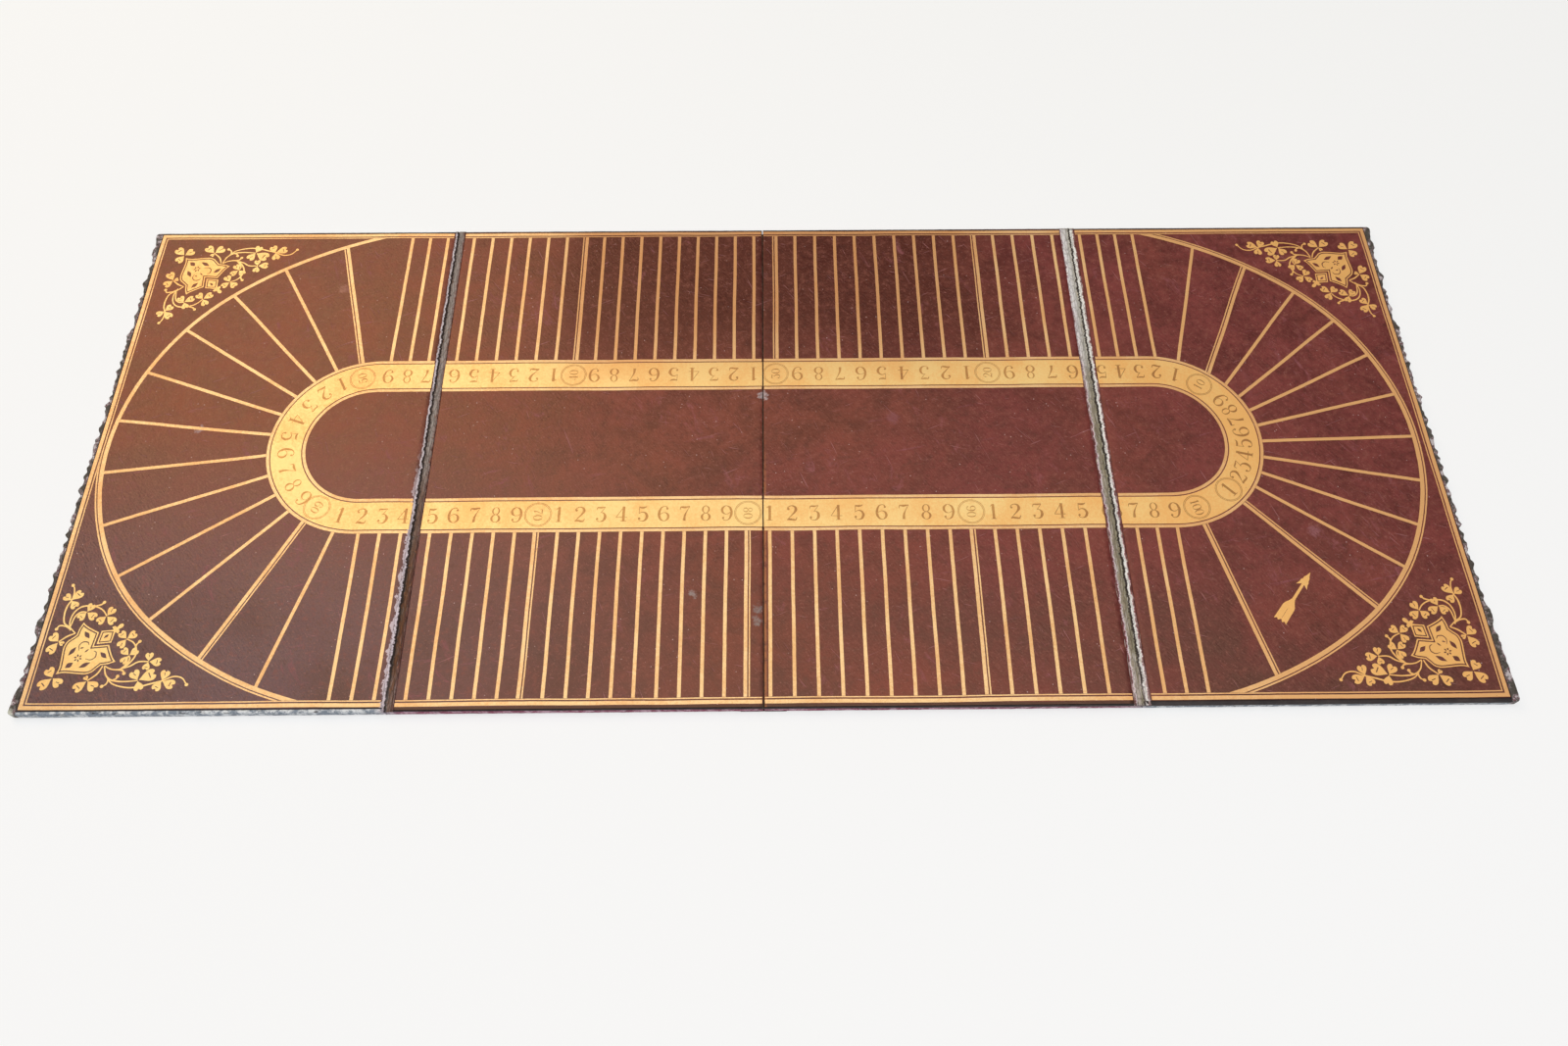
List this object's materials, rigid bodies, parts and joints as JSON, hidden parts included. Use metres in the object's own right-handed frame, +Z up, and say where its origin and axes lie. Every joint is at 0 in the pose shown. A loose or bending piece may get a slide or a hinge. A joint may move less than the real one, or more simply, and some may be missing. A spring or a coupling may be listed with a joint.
{
  "type": "folding race game board",
  "caption": "Leather covered folding board of a games compendium, with a gilt numbered race track; its leaves fold up in a zigzag.",
  "frame": {"origin": "middle of the underside of the open board, on the surface it lies on", "axes": "+X along the row of leaves to the right, +Y away from the player at the near edge, +Z up out of the playing face"},
  "size_m": [0.8004, 0.33, 0.0051],
  "materials": {
    "face_leather": "worn grained red-brown leather",
    "cover_leather": "worn dark grained leather",
    "hinge_leather": "cracked leather, faded to grey",
    "gilding": "gold leaf tooled into leather",
    "linen": "plain woven",
    "millboard": "dense pressed board"
  },
  "bodies": {
    "leaf_1": {"leaf_1_back_cover": "cover_leather", "leaf_1_board": "millboard", "leaf_1_face_leather": "face_leather", "leaf_1_far_corner_ornament": "gilding", "leaf_1_frame_lines": "gilding", "leaf_1_near_corner_ornament": "gilding", "leaf_1_number_band": "gilding", "leaf_1_track_lines": "gilding", "left_hinge_leather_on_leaf_1": "hinge_leather", "left_hinge_linen_on_leaf_1": "linen"},
    "leaf_2": {"centre_hinge_leather_on_leaf_2": "hinge_leather", "centre_hinge_linen_on_leaf_2": "linen", "leaf_2_back_cover": "cover_leather", "leaf_2_board": "millboard", "leaf_2_face_leather": "face_leather", "leaf_2_frame_lines": "gilding", "leaf_2_number_band": "gilding", "leaf_2_track_lines": "gilding", "left_hinge_leather_on_leaf_2": "hinge_leather", "left_hinge_linen_on_leaf_2": "linen"},
    "leaf_3": {"centre_hinge_leather_on_leaf_3": "hinge_leather", "centre_hinge_linen_on_leaf_3": "linen", "leaf_3_back_cover": "cover_leather", "leaf_3_board": "millboard", "leaf_3_face_leather": "face_leather", "leaf_3_frame_lines": "gilding", "leaf_3_number_band": "gilding", "leaf_3_track_lines": "gilding", "right_hinge_leather_on_leaf_3": "hinge_leather", "right_hinge_linen_on_leaf_3": "linen"},
    "leaf_4": {"leaf_4_back_cover": "cover_leather", "leaf_4_board": "millboard", "leaf_4_face_leather": "face_leather", "leaf_4_far_corner_ornament": "gilding", "leaf_4_frame_lines": "gilding", "leaf_4_near_corner_ornament": "gilding", "leaf_4_number_band": "gilding", "leaf_4_track_lines": "gilding", "right_hinge_leather_on_leaf_4": "hinge_leather", "right_hinge_linen_on_leaf_4": "linen", "start_arrow": "gilding"}
  },
  "joints": [
    {"name": "fold_left", "type": "hinge", "parent": "leaf_1", "child": "leaf_2", "pos_m": [-0.2017, 0, 0.00523], "axis": [0, -1, 0], "range_deg": [0, 179.5]},
    {"name": "fold_centre", "type": "hinge", "parent": "leaf_2", "child": "leaf_3", "pos_m": [-0.0021, 0, -0.00015], "axis": [0, 1, 0], "range_deg": [0, 179.5]},
    {"name": "fold_right", "type": "hinge", "parent": "leaf_3", "child": "leaf_4", "pos_m": [0.1988, 0, 0.00523], "axis": [0, -1, 0], "range_deg": [0, 179.5]}
  ]
}
